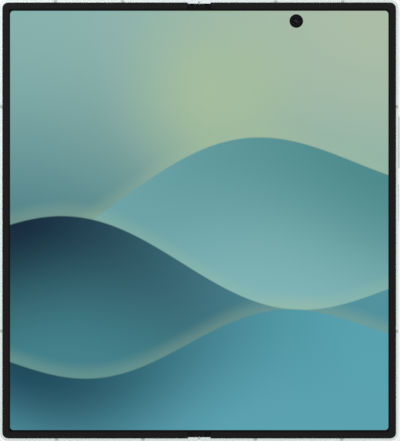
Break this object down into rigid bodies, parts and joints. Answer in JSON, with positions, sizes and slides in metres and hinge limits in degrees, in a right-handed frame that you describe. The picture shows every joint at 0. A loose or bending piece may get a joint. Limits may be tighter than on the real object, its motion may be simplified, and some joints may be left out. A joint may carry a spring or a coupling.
{
  "type": "foldable smartphone",
  "caption": "Thin smartphone that folds like a book: two framed halves on a geared double-axis hinge under a flexible inner display, with cover glass, rear cameras, side keys and SIM tray.",
  "frame": {"origin": "centre of the open phone's footprint, on the plane that its camera rings stand on", "axes": "+X across the fold towards the half with the keys, +Y along the fold towards the top, +Z out of the inner display"},
  "size_m": [0.1438, 0.1584, 0.0064],
  "materials": {
    "frame_metal": "satin anodised, pale mint",
    "break_plastic": "matte",
    "plate_metal": "raw",
    "bezel_plastic": "matte",
    "display": "smooth flexible panel",
    "dark_glass": "polished",
    "back_glass": "etched, pale mint",
    "island_metal": "satin",
    "camera_black": "matte",
    "flash_plastic": "clear",
    "board": "solder mask",
    "cell_wrap": "wrapped",
    "coil_copper": "wound copper",
    "steel": "bright",
    "spine_metal": "satin",
    "flex_film": "polyimide film"
  },
  "bodies": {
    "right_half": {"right_frame": "frame_metal", "right_antenna_breaks": "break_plastic", "right_mid_plate": "plate_metal", "right_bezel": "bezel_plastic", "inner_display_right": "display", "selfie_camera": "camera_black", "rear_glass": "back_glass", "camera_island": "island_metal", "camera_rings": "frame_metal", "camera_lenses": "dark_glass", "camera_modules": "camera_black", "flash_lens": "flash_plastic", "main_board": "board", "shield_cans": "steel", "right_battery": "cell_wrap", "charging_coil": "coil_copper", "usb_shell": "steel", "usb_tongue": "camera_black", "bottom_speaker": "camera_black", "vibration_motor": "steel", "key_switches": "flex_film", "right_magnets": "steel", "right_hinge_brackets": "steel", "right_bracket_screws": "steel"},
    "left_half": {"left_frame": "frame_metal", "left_antenna_breaks": "break_plastic", "left_mid_plate": "plate_metal", "left_bezel": "bezel_plastic", "inner_display_left": "display", "cover_glass": "dark_glass", "cover_display": "display", "cover_camera": "camera_black", "left_board": "board", "left_battery": "cell_wrap", "top_speaker": "camera_black", "left_magnets": "steel", "left_hinge_brackets": "steel", "left_bracket_screws": "steel", "sim_reader": "steel"},
    "spine": {"hinge_cover": "spine_metal", "hinge_bases": "steel", "hinge_end_blocks": "bezel_plastic", "pivot_pins": "steel", "friction_clips": "steel", "display_fold_right": "display", "display_fold_left": "display", "right_hinge_flex": "flex_film", "left_hinge_flex": "flex_film"},
    "right_arms": {"right_swing_arms": "steel", "right_shafts": "steel"},
    "left_arms": {"left_swing_arms": "steel", "left_shafts": "steel"},
    "right_idler_gears": {"right_idlers": "steel"},
    "left_idler_gears": {"left_idlers": "steel"},
    "right_wing_plate": {"right_wing": "plate_metal"},
    "left_wing_plate": {"left_wing": "plate_metal"},
    "volume_key": {"volume_key": "frame_metal"},
    "power_key": {"power_key": "frame_metal"},
    "sim_tray": {"sim_tray": "frame_metal"}
  },
  "joints": [
    {"name": "right_fold", "type": "hinge", "parent": "spine", "child": "right_half", "pos_m": [0.00134, 0, 0.00531], "axis": [0, -1, 0], "range_deg": [0, 90], "deforming": ["display_fold_right", "right_hinge_flex"]},
    {"name": "left_fold", "type": "hinge", "parent": "spine", "child": "left_half", "pos_m": [-0.00134, 0, 0.00531], "axis": [0, 1, 0], "range_deg": [0, 90], "deforming": ["display_fold_left", "left_hinge_flex"]},
    {"name": "right_arm_swing", "type": "hinge", "parent": "spine", "child": "right_arms", "pos_m": [0.00292, 0, 0.00465], "axis": [0, 1, 0], "range_deg": [-90, 0]},
    {"name": "left_arm_swing", "type": "hinge", "parent": "spine", "child": "left_arms", "pos_m": [-0.00292, 0, 0.00465], "axis": [0, 1, 0], "range_deg": [0, 90]},
    {"name": "right_idler_turn", "type": "hinge", "parent": "spine", "child": "right_idler_gears", "pos_m": [0.00112, 0, 0.00435], "axis": [0, 1, 0], "range_deg": [0, 56.25]},
    {"name": "left_idler_turn", "type": "hinge", "parent": "spine", "child": "left_idler_gears", "pos_m": [-0.00112, 0, 0.00435], "axis": [0, 1, 0], "range_deg": [-56.25, 0]},
    {"name": "right_wing_tilt", "type": "hinge", "parent": "right_half", "child": "right_wing_plate", "pos_m": [0.0095, 0, 0.0054], "axis": [0, 1, 0], "range_deg": [-14, 0]},
    {"name": "left_wing_tilt", "type": "hinge", "parent": "left_half", "child": "left_wing_plate", "pos_m": [-0.0095, 0, 0.0054], "axis": [0, 1, 0], "range_deg": [0, 14]},
    {"name": "volume_key_press", "type": "slide", "parent": "right_half", "child": "volume_key", "axis": [-1, 0, 0], "range_m": [0, 0.00035], "stiffness_N_per_m": 3000},
    {"name": "power_key_press", "type": "slide", "parent": "right_half", "child": "power_key", "axis": [-1, 0, 0], "range_m": [0, 0.00035], "stiffness_N_per_m": 3000},
    {"name": "sim_tray_slide", "type": "slide", "parent": "left_half", "child": "sim_tray", "axis": [0, -1, 0], "range_m": [0, 0.024]}
  ],
  "couplings": [
    {"joint": "left_fold", "follows": "right_fold", "ratio": 1},
    {"joint": "right_arm_swing", "follows": "right_fold", "ratio": -1},
    {"joint": "left_arm_swing", "follows": "right_fold", "ratio": 1},
    {"joint": "right_idler_turn", "follows": "right_fold", "ratio": 0.625},
    {"joint": "left_idler_turn", "follows": "right_fold", "ratio": -0.625},
    {"joint": "right_wing_tilt", "follows": "right_fold", "ratio": -0.15556},
    {"joint": "left_wing_tilt", "follows": "right_fold", "ratio": 0.15556}
  ]
}
